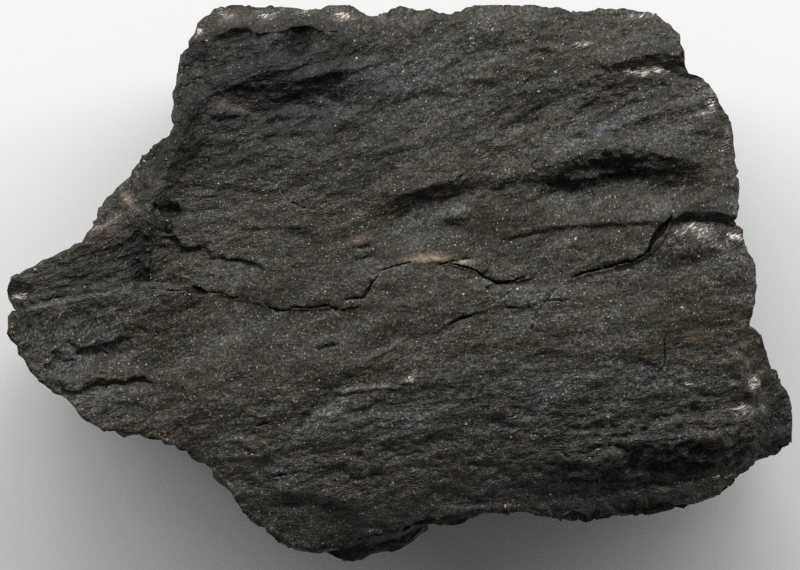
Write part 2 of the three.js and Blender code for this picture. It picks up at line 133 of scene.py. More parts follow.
# Open cracks in the face: line, half-width and depth.
CRACKS = [
    # western crack, from the shoulder to the middle
    ([(-33, -1.3), (-31.3, -1.2), (-29.4, -1.6), (-27.2, -1.7), (-25.8, -2.4), (-23, -2.6),
      (-21.1, -3), (-19.9, -4), (-18.2, -4.4), (-17.2, -4.3), (-16.5, -3.9), (-14.2, -4),
      (-10.8, -3.8), (-9.2, -4.3), (-6.5, -4)], 0.1, 0.55),
    # open pit where it leaves the shoulder
    ([(-32.3, -1.5), (-31.2, -1.3), (-29.6, -1.7)], 0.5, 1.2),
    # corner below the shoulder, and the hairline from it to the pit
    ([(-38.2, 4.6), (-38.0, 3), (-38.4, 1.8), (-38.3, 0.6), (-38.9, -0.7)], 0.12, 0.4),
    ([(-38.4, -0.9), (-36.5, -1.2), (-34.5, -1.4), (-33, -1.3)], 0.12, 0.4),
    # hooked crack
    ([(-8.4, -2.6), (-5.8, -2.5), (-5.2, -1.8), (-4.6, -0.6), (-3.6, 0.7)], 0.16, 0.8),
    ([(-2.8, 1.7), (-1.2, 2.3), (-0.1, 2.6), (1.5, 2.9)], 0.12, 0.5),
    # crack below the pale vein
    ([(6, 2.6), (8.3, 3.3), (10.6, 3.6)], 0.18, 0.7),
    ([(7.6, 2.7), (9.7, 2.3), (11.4, 1.7), (12.4, 0.9), (13.6, 0.3), (14.9, -0.3), (17.5, 0.1),
      (19.3, 0.9)], 0.17, 0.9),
    # eastern crack, which opens into the cleft
    ([(26.2, 0.7), (28.4, 1.5), (30.4, 2), (33.5, 2.7), (36.5, 3.7), (37.6, 4.7)], 0.18, 1.1),
    ([(37.6, 4.7), (38.7, 6.6), (39.9, 8.2), (41.3, 9.7)], 0.45, 1.2),
    # slanting hairlines in the middle
    ([(7.1, -6.6), (8.8, -5.8), (11, -5)], 0.25, 0.6),
    ([(11.6, -4.3), (14, -3.2), (15.6, -2.4), (17.4, -0.8)], 0.14, 0.4),
    # cracks around the small plates
    ([(15.7, -3.9), (18, -3.9), (20.3, -3.6)], 0.14, 0.6),
    ([(22.4, -2.9), (25.6, -2.7)], 0.14, 0.6),
    ([(23.8, -0.9), (22.3, -2.7), (20.9, -4.7), (19.9, -7.2)], 0.12, 0.45),
    ([(-7.2, 5.4), (-6, 5.1), (-4.6, 5.6)], 0.13, 0.4),
    # short cracks in the south-east
    ([(40.5, -7.6), (40.2, -9.4), (40.3, -12.6), (39.2, -13.9)], 0.12, 0.4),
    ([(49.6, -7.9), (50, -9.8), (50.4, -11.4)], 0.14, 0.4),
    ([(47.2, 0.5), (48.1, 0), (49, 0.6)], 0.2, 0.4),
    # slots left by lost slivers
    ([(-12.7, -10.4), (-11.2, -9.8), (-9.8, -9.6)], 0.25, 0.7),
    ([(-21.9, -22), (-20.2, -21.5)], 0.22, 0.5),
    ([(-19.4, -29.8), (-17.6, -29.4)], 0.22, 0.5),
    ([(24.6, -26), (25.8, -26.8)], 0.25, 0.5),
    ([(-16.5, 12.1), (-15, 11.2), (-13, 11.1)], 0.15, 0.3),
    ([(-7.2, 3.2), (-6, 3.5), (-4.5, 3.9)], 0.2, 0.5),
    ([(-30.2, 36.6), (-29.5, 34.9), (-30, 33.4), (-29.6, 32.2)], 0.1, 0.25),
]

# Broken edges of thin laminae, high side on the left of the line: line, drop and width of the scarp.
LAMINAE = [
    # north-west quarter
    ([(-16.5, 38.9), (-20, 38.7), (-23.4, 38.7)], 1.1, 0.7),
    ([(-7.4, 38.4), (-10, 38.7), (-12.6, 38.9)], 1.1, 0.7),
    ([(-20.6, 34.2), (-19.6, 35.9), (-18.4, 36.9)], 0.5, 0.5),
    ([(-17.4, 34.4), (-20.4, 33.6), (-23, 33.2)], 0.4, 0.6),
    ([(-7, 26.6), (-11, 24.4), (-16, 22.6)], 0.4, 0.7),
    ([(-2, 33), (-8, 30.6), (-12.6, 28.2)], 0.4, 0.7),
    ([(6, 24), (0, 21.4), (-5, 18.6)], 0.35, 0.7),
    ([(-2.6, 34.6), (-6.6, 33.6), (-10.6, 32.8), (-14.6, 31.8), (-18.6, 30.6)], 1.9, 1.3),
    ([(-22.4, 24.2), (-25.1, 25.9), (-27.2, 26.7), (-29.6, 27.2)], 0.7, 0.6),
    ([(-27, 29), (-24.6, 29.6), (-22, 29.4)], 0.6, 0.8),
    ([(-31.6, 15.4), (-28.4, 14.5), (-25.1, 14.3), (-21.1, 13.9), (-17.8, 14)], 0.4, 0.4),
    ([(-19, 8.4), (-15.9, 7.9), (-14.1, 7.2), (-12.3, 6)], 0.5, 0.9),
    ([(-24, 21), (-20, 22.2), (-15, 22.8), (-11, 24)], 0.3, 0.7),
    ([(-9, 18), (-4, 19.5), (2, 20), (8, 22)], 0.3, 0.8),
    # north-east quarter
    ([(19, 34.9), (21.1, 35.4), (23.3, 35.1)], 0.4, 0.5),
    ([(23.1, 22.9), (26.9, 25.5), (31.5, 29.6), (35.5, 31.1)], 0.4, 0.5),
    ([(35.5, 23.5), (38.5, 25.2), (42.6, 25.6), (46.1, 25.8)], 0.35, 0.5),
    ([(13.3, 13.9), (14.9, 14.4), (16.4, 14)], 0.5, 0.5),
    ([(23.1, 4.6), (25.8, 5.2), (28.1, 5.6), (32.4, 5.9)], 0.3, 0.35),
    ([(8, 30.5), (14, 30), (20, 31)], 0.25, 0.7),
    ([(27.6, 17.6), (30.4, 18.6), (33.6, 19), (37, 18.2)], 0.8, 0.7),
    ([(24, 14.8), (29, 15.8), (35, 16.4), (41, 15.8)], 0.7, 0.6),
    ([(28.6, 15.6), (33, 16.8), (38, 17), (43, 16.4)], 0.6, 0.5),
    ([(26.6, 22.2), (30, 24.4), (34, 27), (38.6, 29)], 0.45, 0.5),
    ([(41.6, 28.6), (36, 26.2), (31, 23.4), (26.4, 20.6)], 0.45, 0.5),
    ([(30, 21.4), (34.6, 23.6), (40, 24.4)], 0.35, 0.5),
    ([(27, 27.4), (22, 24.6), (17, 22)], 0.35, 0.5),
    ([(14, 22.6), (19, 25.4), (24, 28.6)], 0.35, 0.5),
    ([(48.4, 19.4), (44, 18.8), (40, 20)], 0.4, 0.5),
    ([(6.4, 9.5), (8.4, 9), (10.8, 9.3)], 0.8, 0.3),
    # middle
    ([(1.6, -8.3), (-0.1, -9), (-3.2, -10.8), (-5.6, -12.3)], 0.6, 0.3),
    ([(6.5, -7), (3, -8.2), (-1.6, -11.1), (-5.7, -12.8), (-9.2, -14.6)], 0.5, 0.9),
    ([(16, -4), (18.6, -4.2), (21, -3.8)], 0.5, 0.25),
    ([(22.6, -3.2), (25.4, -2.8)], 0.4, 0.25),
    ([(20.6, -0.9), (17.6, -0.7), (15.6, -0.9)], 0.35, 0.25),
    ([(-7.4, 5.6), (-5.6, 5.4), (-4.2, 5.8)], 0.5, 0.3),
    ([(30.9, -0.9), (33.5, -0.3), (37.3, -0.5), (40.6, -0.9)], 0.3, 0.35),
    ([(21.3, -8.5), (25.1, -7.9), (30.4, -7.8)], 0.3, 0.5),
    ([(18.2, -11.6), (22, -10.8), (25.4, -10.7)], 0.3, 0.5),
    ([(31.5, -9.3), (34.2, -10.7), (37.3, -12), (39.6, -13)], 0.35, 0.5),
    ([(-27.5, -11.4), (-23.7, -10.5), (-19.9, -9.8), (-16.4, -9.3)], 0.2, 0.35),
    # south-west plate
    ([(-44.3, -7.5), (-40.5, -7), (-37.4, -7.5), (-34.7, -7.2)], 0.3, 0.4),
    ([(-35.6, -16.6), (-33.9, -16.2), (-32.6, -16.2)], 0.3, 0.3),
    ([(-46, -19.4), (-41, -18.6), (-36, -18.9)], 0.3, 0.4),
    # lower arm
    ([(-40.6, -0.8), (-45.8, -1.5), (-51.9, -2.8), (-57.2, -3.8)], 0.9, 0.35),
    ([(-52, -0.4), (-47, 1.6), (-42, 2.4)], 0.35, 0.5),
    ([(-49, 3.4), (-45, 5.2), (-41, 6)], 0.3, 0.4),
    # south
    ([(-20.4, -32.4), (-17.6, -32.3), (-14.2, -33.2)], 0.8, 0.7),
    ([(-12.2, -33.6), (-9.4, -33.8), (-6.4, -35)], 0.8, 0.7),
    ([(2, -15.6), (-3, -16), (-8, -16.2), (-11.2, -17)], 0.4, 0.4),
    ([(-10.4, -19), (-13.2, -20.4), (-15.6, -22.6), (-16.4, -24.6)], 0.5, 0.7),
    ([(34, -24.8), (39, -25), (44, -24.6), (50, -24)], 1, 0.6),
    ([(36, -27.4), (42, -27.2), (48, -26.4)], 0.9, 0.6),
    ([(52, -22.4), (46, -22.9), (40, -23.2), (35, -23)], 0.6, 0.4),
    ([(53, -25.2), (47, -25.8), (41, -26.2), (36, -26)], 0.7, 0.4),
    ([(48, -28), (42, -28.8), (36, -29.2), (31, -29)], 0.7, 0.4),
    ([(24, -27.6), (30, -27.8), (35, -28.4)], 0.8, 0.5),
    ([(36, -30), (30, -30.6), (24, -30.9)], 0.6, 0.4),
    ([(33, -30.8), (39, -30.8), (46, -30)], 0.7, 0.5),
    ([(56.2, -18), (53.6, -13.6), (51, -10.4), (49.8, -8.2)], 0.7, 0.4),
    ([(2.2, -25.1), (3.7, -23.8), (6, -22.5)], 0.6, 0.6),
    ([(13.5, -20.4), (15.4, -21.4), (17.8, -21.9)], 0.5, 0.5),
    ([(34.2, -23.6), (35.3, -22.6), (36.5, -22.3)], 0.4, 0.4),
    ([(-8.7, -30.1), (-5, -29.6), (-2.5, -28.7)], 0.4, 0.5),
    ([(0.4, -27), (2, -27.4), (4, -27.2)], 0.4, 0.4),
    ([(23.7, -30.5), (27.4, -29.9), (30.4, -28.7), (34.5, -28.1)], 0.5, 0.6),
]

# Pits and small mounds: centre, half-length, half-width, turn in degrees and height.
PITS = [
    (-15.7, 36.7, 2.1, 1.9, 20, -2.4),
    (45.2, 5.5, 4.6, 1.9, 8, 1.1),
    (17, -35.5, 12, 1, -3, 0.6),
    (33, -33, 8, 0.9, 8, 0.7),
    (45, -31.4, 6, 1.2, 12, 1),
    (-25, 37.2, 2, 0.7, 5, -0.5),
    (-19.8, 35.6, 2.4, 0.8, 50, 0.9),
    (-21.6, 38.1, 1.1, 0.6, 20, 0.8),
    (-12.2, 38.1, 1.2, 0.6, -20, 0.9),
    (-27.4, 37.9, 0.8, 0.6, 30, 0.6),
    (-35.9, 10.9, 1.9, 0.7, -8, -1.4),
    (-39.4, 0.9, 1, 1.6, 0, -0.6),
    (8.6, 10.4, 2, 1, 5, 0.5),
    (-41.5, 12, 1.8, 0.9, -50, 0.4),
    (-45.6, 8, 1.8, 0.8, 30, 0.3),
    (-26, 28.6, 2.2, 0.9, 20, -0.4),
    (-11.5, 31, 3, 1, 10, -0.5),
    (33, 17, 6, 1.4, 5, -0.5),
    (26, 14, 3.5, 0.7, 8, -0.35),
]

# Stains and painted shade, sheen and highlights in five tables: centre, half-length, half-width, turn in
# degrees and strength.

# Tan mineral films.
CLAY = [
    (4.2, 3.4, 2.7, 0.58, 2, 1.5),
    (9.4, 3.1, 1.6, 0.45, 0, 1.2),
    (-6.2, 6.3, 1.7, 0.7, 20, 0.55),
    (-41.2, 12, 1.8, 0.8, -50, 0.3),
    (-45.4, 7.8, 1.9, 0.7, 30, 0.25),
    (-24.5, 39.8, 4, 0.8, 0, 0.12),
    (-8.6, 40.2, 2, 0.5, 0, 0.15),
    # on the shell-shaped break: painted sheen in the tan colour
    (44.6, 7.6, 3.2, 0.8, 14, 0.35),
    (-6.4, 10.5, 0.8, 0.6, 0, 0.5),
    (49.4, -12, 1.2, 0.8, 0, 0.4),
    (45, -8.4, 2, 1, 0, 0.25),
    (-25.4, 26.5, 3.2, 0.45, -20, 0.3),
    (-50.5, -3.2, 8.5, 0.5, 11, 0.2),
    (53.6, -12.4, 5, 1.4, -71, 0.2),
]

# Bluish grey laminae, partly real tone and partly painted sheen and painted highlights on lit rims and
# ridges.
SLATE_AND_SHEEN = [
    # the shell-shaped break: painted sheen
    (45, 7.8, 4.6, 1.3, 12, 0.6),
    (-4.5, -16.3, 6.6, 0.3, 5, 0.5),
    # the lit edge of the slanting break: painted highlight
    (-2, -10.1, 4.4, 0.15, 28, 1.7),
    (20.4, -1.1, 5, 0.2, 3, 0.9),
    (18.4, -2.4, 2.6, 1, 2, 0.3),
    (24, -2, 1.6, 0.6, 2, 0.3),
    (-25.4, 26.6, 3.4, 0.5, -20, 0.8),
    # the lit rims of the south-west plate, the south edge and the east bevel: painted highlights
    (-50.5, -3.2, 8.5, 0.7, 11, 1.5),
    (17, -34.6, 12, 0.6, -3, 0.6),
    (51.4, -12.8, 5.4, 0.3, -71, 0.7),
    (-15.4, -22.4, 3, 0.6, 50, 0.9),
    (28, 22.5, 6, 0.8, 36, 0.6),
    (35, 25.6, 5, 0.7, 30, 0.5),
    (18, 24, 6, 0.9, 33, 0.4),
    (-13, 23, 8, 1.2, 35, 0.7),
    (-5, 30, 8, 1, 33, 0.7),
    # the lit side of the diagonal ridge in the north-west: painted highlight
    (-19.6, 35.5, 2.6, 1, 48, 2.2),
    (-8.5, 29.6, 7, 1.8, 35, 0.8),
    (-16, 25.5, 4, 1, 30, 0.6),
    (2, 31, 7, 2.4, 8, 0.8),
    (6, 25.5, 5, 1.4, 20, 0.5),
    (-27, 26.6, 4, 0.9, -14, 0.7),
    (32, 23.6, 6, 1.5, 38, 0.6),
    (20, 30.5, 5, 1.2, 10, 0.4),
    (12, 36, 8, 1.6, 5, 0.35),
    (8.6, 10.3, 1.8, 1, 5, 0.5),
    (-50, -9, 6, 3.5, 25, 0.4),
    (-45, -17.5, 5, 1.5, 8, 0.35),
    (-12.4, -20.8, 4, 1.4, 30, 0.8),
    (-7, -19, 6, 2, 8, 0.3),
    (-18, -29, 3, 1.4, 15, 0.8),
    (31.8, -5.2, 2.2, 0.8, 35, 0.8),
    (43, -15.2, 4, 1.4, 0, 0.9),
    (38.5, -13.6, 2.2, 0.9, -32, 0.7),
    (16, -16, 12, 2.6, 4, 0.4),
    (2, -22, 10, 3, 6, 0.35),
    (26, -18, 14, 4, 4, 0.3),
    (-26, -33, 7, 3, -40, 0.35),
    (24, -31.5, 10, 1.6, 4, 0.2),
    (54.8, -20, 1.6, 0.6, 10, 0.9),
]

# Glassy, shell-shaped breaks.
GLOSS = [
    (-58.2, -1.8, 2.2, 2.3, 0, 1.5),
    (45.2, 7.2, 5, 1.7, 8, 1.4),
    (51.4, 6.4, 1.2, 1.8, 0, 0.9),
    (37.4, 32.4, 3.4, 0.6, 4, 1),
    (26.7, 35.8, 2.6, 0.6, 4, 0.6),
    (47.3, 27.2, 1.2, 2, -10, 0.9),
    (49.8, 21.6, 0.8, 3, -8, 0.9),
    (44.1, -15.6, 1, 0.6, 0, 0.8),
    (53.9, -16, 1, 0.9, 0, 0.9),
    (52, -19.4, 1.8, 0.8, 10, 0.9),
    (-30.8, 38.1, 0.9, 1.4, -20, 0.8),
    (-24.5, 40.2, 4.5, 0.8, 0, 0.4),
    (-9, 40.6, 2.4, 0.6, 0, 0.6),
    (37, 40.2, 2.6, 0.6, 0, 0.5),
    (57, -20.5, 2.4, 3, -25, 0.6),
]

# Painted highlights: bright glints on broken edges, painted in as cream flakes.
GLINT = [
    (-58.1, -2.3, 1.2, 0.6, 10, 1.4),
    (46.1, 7.2, 1.5, 1.1, 0, 0.8),
    (1.2, -15, 0.9, 0.35, 5, 1.5),
    (2, -13.7, 0.35, 0.9, -8, 0.8),
    (-2.4, -15.8, 3, 0.3, 6, 0.5),
    (43.6, 8, 3.4, 0.7, 24, 0.8),
    (45.2, 7.2, 4.6, 1.4, 10, 0.12),
    (-41.6, 12.4, 2, 0.7, -50, 0.5),
    (-45.8, 8.2, 2.2, 0.6, 30, 0.5),
    (37, -26, 16, 4, 4, 0.3),
    (-8, -28, 18, 7, 6, 0.16),
    (10, -37, 8, 2, 0, 0.3),
    (51.2, 6.8, 1.1, 0.9, 0, 1),
    (47.8, 5.6, 2, 0.7, -10, 0.6),
    (37.5, 32.2, 3.6, 0.7, 4, 1.7),
    (41, 34, 2, 0.8, 20, 0.4),
    (26.9, 36, 2.8, 0.6, 4, 0.7),
    (47.3, 27.4, 0.8, 1.8, -10, 1),
    (46, 25.7, 1.8, 0.4, 8, 0.8),
    (49.7, 22, 0.6, 2.6, -10, 0.9),
    (44.1, -15.6, 0.9, 0.5, 0, 1.1),
    (53.9, -15.7, 0.8, 0.8, 0, 2.2),
    (52.2, -19.3, 1.6, 0.6, 5, 1.8),
    (31.6, -20.5, 0.3, 0.7, 10, 1.6),
    (-30.7, 38.2, 0.7, 1, -20, 1),
    (-26.4, 40.6, 1.6, 0.7, -10, 1),
    (-20.8, 40.7, 1.8, 0.6, 0, 1),
    (-14.6, 41.2, 0.8, 0.4, 0, 0.9),
    (-8.8, 40.6, 1.8, 0.7, 0, 1.2),
    (-3, 40.2, 2, 0.6, -10, 0.5),
    (50.6, -15.8, 0.8, 0.6, 20, 1.1),
    (52.6, -20.4, 1.6, 0.5, 10, 1.1),
    (55.8, -19.6, 0.8, 0.8, 0, 0.8),
    (-51.9, -4.8, 0.9, 0.3, 20, 0.9),
    (37, 40.4, 2.2, 0.4, 0, 0.7),
    (20, -34.8, 10, 0.5, -1, 0.6),
    (45.5, -30.4, 7, 1, 8, 0.35),
    (-4.4, -38.2, 1.6, 0.4, 10, 0.8),
    (-36, -24.6, 2, 0.4, -20, 0.5),
    (-43, 10.6, 3, 0.5, 55, 0.5),
]

# Darker coal: browner or deeper coal in places, painted shade in hollows, pits, the cleft and south-facing
# slopes.
DARK_COAL_AND_SHADE = [
    (-46, 3.8, 8, 3.4, 24, 0.36),
    (-58.2, -2, 1.9, 1.8, 0, 1.5),
    (-40, 3.4, 1.6, 3.6, 0, 1.3),
    (-40.4, 0.7, 1.9, 1.2, 0, 1.3),
    (-48, -1, 8, 1, 11, 0.5),
    # pits, and the dark patch under the north rim: painted shade
    (-15.7, 36.6, 2.1, 1.8, 20, 1.8),
    (-25, 37.6, 2.6, 1.1, 0, 1.6),
    (-31.6, 35, 2, 2.4, 0, 0.4),
    # the cleft above the shell-shaped break: painted shade
    (40, 8.6, 2.6, 0.8, 50, 1.5),
    (46, 10.8, 4, 0.9, 0, 0.8),
    (-35.9, 10.9, 2.2, 0.9, -8, 1.4),
    # the hollows in the north-east and the middle: painted shade
    (33, 17.2, 5.8, 3, 4, 0.6),
    (40.5, 18.4, 4.6, 1, 2, 0.8),
    (33, 14.8, 9, 0.9, 5, 0.6),
    (3.2, 12.6, 5, 1.7, 24, 0.2),
    (21.5, 14.6, 6.5, 1.5, 0, 0.6),
    # the north-west quarter: darker coal all over, with painted shade in the two cores of its hollow
    (-21, 29.5, 17, 11, 8, 1.5),
    (-22.5, 29.2, 4.8, 2, 10, 0.7),
    (-13.6, 31.6, 3.6, 1.1, 8, 0.6),
    (-34, 20, 4, 12, -15, 0.4),
    (40.5, 34.6, 4, 1.6, 15, 0.9),
    # the slope in the south-east, which faces away from the lamp: painted shade
    (36, -28.2, 22, 4, 4, 0.75),
    (44, -25.6, 10, 2, 5, 0.8),
    (57, -20.5, 3, 3.6, -25, 0.6),
    (33, -25, 10, 4, 4, 0.45),
    (22, -33, 22, 2.4, 5, 0.3),
    (-21, -3, 9, 6, 10, 0.17),
    (2, 1.5, 11, 5, 8, 0.12),
    (1.5, 7.5, 7, 2.6, 8, 0.2),
    (24, -24, 6, 3, 4, 0.2),
    (-12, -34.6, 10, 2, 0, 0.4),
    (-18, -32.6, 4, 1.4, 10, 0.4),
    # the wedge under the overhang of the south tip: painted shadow
    (-3, -41, 7, 2.6, 8, 4),
    (52, -12, 2.2, 5, 20, 0.25),
    (31, 25.5, 6, 0.9, 38, 0.5),
    (38, 27.5, 5, 0.9, 25, 0.4),
    (24, 29, 5, 1, 30, 0.35),
    (44, 22, 4, 1, 35, 0.4),
    (14, 26, 6, 1, 30, 0.35),
    (6, 21, 6, 1.2, 28, 0.35),
    (-4, 17, 7, 1.4, 30, 0.35),
    (-9, 27, 8, 1.2, 33, 0.35),
]

PATCHES = {"clay": CLAY, "slate_and_sheen": SLATE_AND_SHEEN, "gloss": GLOSS, "glint": GLINT, "dusk": DARK_COAL_AND_SHADE}

# How rough the face is broken in plain places, and what is added elsewhere: centre, half-length,
# half-width, turn in degrees and addition.
PLAIN_ROUGH = 0.35
ROUGH_ZONES = [
    (-10, -28, 20, 9, 4, 0.35),
    (28, -22, 30, 9, 3, 0.3),
    (42, -26, 18, 5.5, 5, 1.5),
    (-22, 28, 14, 9, 10, 0.35),
    (30, 24, 20, 8, 20, 0.3),
    (33, 17, 8, 3, 5, 0.9),
    (-50, -14, 10, 7, 15, 0.3),
    (-40, 6, 10, 8, 25, 0.3),
    (56, -16, 5, 8, -20, 0.4),
    (-12, -7, 17, 7, 10, -0.26),
    (6, 6, 22, 5.5, 5, -0.24),
    (36, -4, 14, 6, 3, -0.16),
]

# Smooth places of the face: centre, half-length, half-width and turn in degrees.
CALM_ZONES = [
    (-16, -8, 24, 7, 12),
    (-4, 7, 18, 5, 10),
    (34, -3, 15, 5, 3),
]

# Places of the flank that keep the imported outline: centre, half-length, half-width and turn in degrees.
# The notch in the north-east also keeps its clean break.
NOTCH = (44.5, 35, 5, 4, 0)
KEPT_ZONES = [NOTCH, (0, -38, 17, 8, 8)]

# How much the grain shows as fine stripes in plain places and on the flanks, and what is added elsewhere.
PLAIN_FIBRE = 0.08
FLANK_FIBRE = 0.9
FIBRE_ZONES = [
    (34, -6, 18, 8, 3, 0.2),
    (-44, 3, 12, 6, 24, 0.12),
    (26, 8, 14, 4, 4, 0.25),
    (42, -26, 16, 6, 4, 0.9),
]

# Mineral specks: size of their cells in millimetres, share of the cells that hold one, its radius in cells,
# and the three colours that it may have.
SPECKS = [
    # cream grains
    (0.6, 0.4, 0.21, [(0.52, 0.45, 0.29), (0.54, 0.51, 0.44), (0.38, 0.44, 0.5)]),
    # ochre dust
    (0.36, 0.36, 0.3, [(0.36, 0.3, 0.17), (0.3, 0.28, 0.21), (0.33, 0.22, 0.12)]),
    # a few larger white grains
    (2.6, 0.4, 0.085, [(0.7, 0.66, 0.54), (0.74, 0.73, 0.7), (0.52, 0.6, 0.68)]),
]

# What the mesh keeps at each point for its material, besides the grain.
MARKS = ("slate_and_sheen", "clay", "gloss", "glint", "dusk", "fibre", "hackle", "crack")


class LigniteShape(bpy.types.PropertyGroup):
    """How the block's fine relief is cut."""

    crease_angle: FloatProperty(
        name="Crease angle", description="Edges sharper than this stay crisp",
        default=math.radians(20), subtype="ANGLE",
    )
    grain_rise: FloatProperty(
        name="Grain rise", description="How far the grain turns from +X towards +Y",
        default=math.radians(3), subtype="ANGLE",
    )
    chips: IntProperty(
        name="Chips", description="Number of thin chips left standing on the face", default=1500, min=0
    )
    chip_drop: FloatProperty(
        name="Chip height", description="Height of the chips' broken edges", default=0.38 * MM,
        unit="LENGTH",
    )
    hackle: FloatProperty(
        name="Hackle", description="Height of the flaky steps where the face is roughest", default=0.6 * MM,
        unit="LENGTH",
    )
    lump: FloatProperty(
        name="Lump", description="Height of the smallest lumps", default=0.07 * MM, unit="LENGTH"
    )
    sway: FloatProperty(
        name="Sway", description="How far broken edges stray sideways", default=0.28 * MM, unit="LENGTH"
    )
    bed_pitch: FloatProperty(
        name="Bed pitch", description="Thickness of the thin beds seen in the flanks",
        default=2.3 * MM, unit="LENGTH",
    )
    bed_step: FloatProperty(
        name="Bed step", description="How far the thin beds stand out from the flanks",
        default=0.8 * MM, unit="LENGTH",
    )
    block_step: FloatProperty(
        name="Block step", description="How far the small blocks stand out from the flanks",
        default=1.2 * MM, unit="LENGTH",
    )
    facet_step: FloatProperty(
        name="Facet step", description="Depth of the broad facets broken out of the flanks",
        default=0.8 * MM, unit="LENGTH",
    )
    flank_drift: FloatProperty(
        name="Flank drift", description="How far the lower flanks wander from the packed outline",
        default=2.4 * MM, unit="LENGTH",
    )
    nick: FloatProperty(
        name="Nick", description="Depth of the nicks along the rim", default=1.0 * MM, unit="LENGTH"
    )


class LigniteFinish(bpy.types.PropertyGroup):
    """Colours and gloss of the coal, and the colours of its painted sheen, highlights and crack shade."""

    coal: FloatVectorProperty(
        name="Coal", description="Main colour", default=(0.0256, 0.0217, 0.0146), subtype="COLOR"
    )
    # also the colour of the painted sheen and the painted highlights on lit rims
    slate_and_sheen: FloatVectorProperty(
        name="Slaty sheen", description="Colour of the bluish laminae", default=(0.051, 0.0525, 0.055),
        subtype="COLOR",
    )
    clay: FloatVectorProperty(
        name="Clay", description="Colour of the tan mineral films", default=(0.28, 0.21, 0.145),
        subtype="COLOR",
    )
    glass: FloatVectorProperty(
        name="Glassy coal", description="Colour of the shell-shaped breaks", default=(0.016, 0.013, 0.011),
        subtype="COLOR",
    )
    # colour of the painted highlights
    painted_glint: FloatVectorProperty(
        name="Flake", description="Colour of the bright flakes on broken edges", default=(0.62, 0.56, 0.5),
        subtype="COLOR",
    )
    # painted shade inside the cracks
    crack: FloatVectorProperty(
        name="Crack", description="Colour inside the cracks", default=(0.003, 0.003, 0.003),
        subtype="COLOR",
    )
    shine: FloatProperty(
        name="Shine", description="How much the coal mirrors", default=0.35, min=0, max=1
    )
    roughness: FloatProperty(
        name="Roughness", description="Roughness of the dull coal", default=0.6, min=0, max=1
    )


class LigniteStage(bpy.types.PropertyGroup):
    """Floor, lamps and camera."""

    floor_size: FloatProperty(
        name="Floor size", description="Side of the floor", default=3.0, unit="LENGTH"
    )
    floor_colour: FloatVectorProperty(
        name="Floor", description="Colour of the floor", default=(0.8, 0.8, 0.8), subtype="COLOR"
    )
    lamp_rise: FloatProperty(
        name="Lamp rise", description="Height angle of the lamp, which stands in the north",
        default=math.radians(43), subtype="ANGLE",
    )
    lamp_distance: FloatProperty(
        name="Lamp distance", description="From the top of the block to the lamp", default=1.0,
        unit="LENGTH",
    )
    lamp_length: FloatProperty(
        name="Lamp length", description="Length of the lamp from east to west", default=4.5, unit="LENGTH"
    )
    lamp_width: FloatProperty(
        name="Lamp width", description="Width of the lamp", default=0.25, unit="LENGTH"
    )
    lamp_power: FloatProperty(name="Lamp power", description="Watts of the lamp", default=41.5)
    fill: FloatProperty(name="Fill", description="Brightness of the soft sky", default=0.14)
    lens: FloatProperty(
        name="Lens", description="Focal length of the camera, in millimetres", default=500.0
    )
    aim: FloatVectorProperty(
        name="Aim", description="Place below the camera, from the tables' origin", size=2,
        default=(-0.1 * MM, -0.5 * MM), unit="LENGTH",
    )
    view_width: FloatProperty(
        name="View width", description="Width of the picture at the face", default=122 * MM,
        unit="LENGTH",
    )


GROUPS = {"lignite_shape": LigniteShape, "lignite_finish": LigniteFinish, "lignite_stage": LigniteStage}


def in_face(points):
    """Points of a table, in metres in the part's frame."""
    return np.array(points, float) * MM + np.array(FACE_ORIGIN[:2])


def beside_line(plan, points):
    """Nearest place on a line of the tables: how far off, on which side, and the share of the way along."""
    line = in_face(points)
    spans = np.linalg.norm(line[1:] - line[:-1], axis=1)
    starts = np.concatenate([[0.0], np.cumsum(spans)[:-1]])
    gap = np.full(len(plan), np.inf)
    side = np.ones(len(plan))
    along = np.zeros(len(plan))
    foot = plan.copy()
    for start, end, span, run in zip(line[:-1], line[1:], spans, starts):
        way = (end - start) / span
        out = plan - start
        share = np.clip(out @ way, 0.0, span)
        reach = np.linalg.norm(out - share[:, None] * way, axis=1)
        nearer = reach < gap
        gap[nearer] = reach[nearer]
        along[nearer] = (run + share[nearer]) / spans.sum()
        side[nearer] = np.where(way[0] * out[nearer, 1] - way[1] * out[nearer, 0] < 0, -1.0, 1.0)
        foot[nearer] = start + share[nearer, None] * way
    return gap, side, along, foot


def blob(plan, x, y, half_length, half_width, turn):
    """A soft ellipse of the tables: 1 in the middle, fading outwards."""
    out = plan - in_face((x, y))
    turn = math.radians(turn)
    along = (out[:, 0] * math.cos(turn) + out[:, 1] * math.sin(turn)) / (half_length * MM)
    across = (out[:, 1] * math.cos(turn) - out[:, 0] * math.sin(turn)) / (half_width * MM)
    return np.exp(-(along**2) - across**2)


def zones(plan, places):
    """All soft ellipses of a table added up. One that gives no strength of its own has a strength of 1."""
    total = np.zeros(len(plan))
    for x, y, half_length, half_width, turn, *strength in places:
        total += (strength[0] if strength else 1.0) * blob(plan, x, y, half_length, half_width, turn)
    return total


def ease(values, start, end):
    """0 before the start, 1 past the end and a straight ramp between them, in either direction."""
    return np.clip((values - start) / (end - start), 0.0, 1.0)


def field(points, cell, seed):
    """Noise from -1 to 1 at each point, in cells of the three sizes given in millimetres."""
    spots = points / (np.array(cell, float) * MM) + seed * SEED_SPACING
    return np.array([noise.noise(Vector(spot)) for spot in spots])


def drift_field(points, cell, seeds):
    """Two such noises for each point, as moves along X and Y."""
    return np.stack([field(points, cell, seed) for seed in seeds], axis=1)


